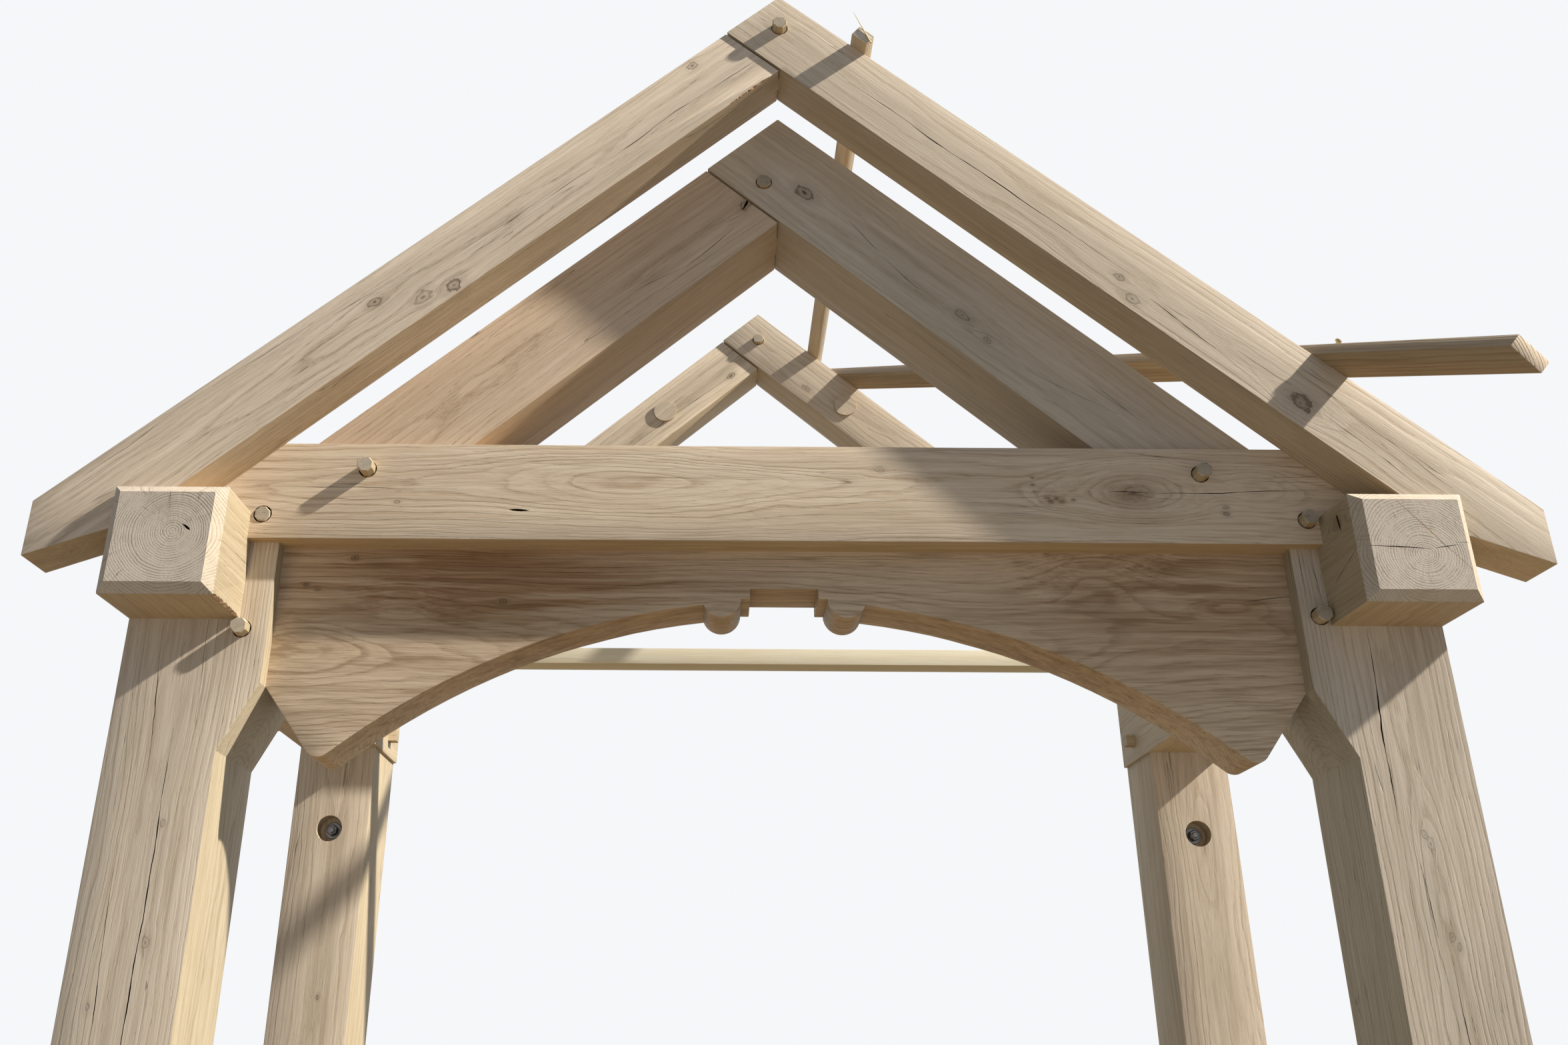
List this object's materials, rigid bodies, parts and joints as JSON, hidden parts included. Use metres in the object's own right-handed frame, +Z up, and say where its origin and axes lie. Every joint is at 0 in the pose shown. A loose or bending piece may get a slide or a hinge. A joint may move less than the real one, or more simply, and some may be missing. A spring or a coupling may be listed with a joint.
{
  "type": "timber porch canopy frame",
  "caption": "Open pegged oak porch frame on posts with jowled heads, a cusped arch board, tie beam and gable rafters, made to be bolted to a house wall.",
  "frame": {"origin": "on the ground, in the middle of the part's box seen from above", "axes": "+Z up, +Y towards the wall, +X to the right as one walks up to the entrance"},
  "size_m": [2.092, 1.304, 3.1501],
  "materials": {
    "oak": "planed green oak, a little weathered",
    "peg_oak": "cleft oak",
    "softwood": "sawn softwood",
    "steel": "zinc-plated"
  },
  "bodies": {
    "root": {"front_post_left": "oak", "front_post_right": "oak", "wall_post_left": "oak", "wall_post_right": "oak", "eaves_plate_left": "oak", "eaves_plate_right": "oak", "tie_beam": "oak", "arch_board": "oak", "barge_rafter_left": "oak", "barge_rafter_right": "oak", "principal_rafter_left": "oak", "principal_rafter_right": "oak", "wall_rafter_left": "oak", "wall_rafter_right": "oak", "barge_peg": "peg_oak", "principal_peg": "peg_oak", "wall_rafter_peg": "peg_oak", "foot_peg_left": "peg_oak", "foot_peg_right": "peg_oak", "tie_peg_left": "peg_oak", "tie_peg_right": "peg_oak", "head_peg_left": "peg_oak", "head_peg_right": "peg_oak", "plate_peg_left": "peg_oak", "plate_peg_right": "peg_oak", "rafter_plug_left": "peg_oak", "rafter_plug_right": "peg_oak", "upper_bolt_left": "steel", "upper_bolt_right": "steel", "lower_bolt_left": "steel", "lower_bolt_right": "steel", "ridge_batten": "softwood", "diagonal_brace": "softwood", "spreader_batten": "softwood"}
  },
  "joints": []
}
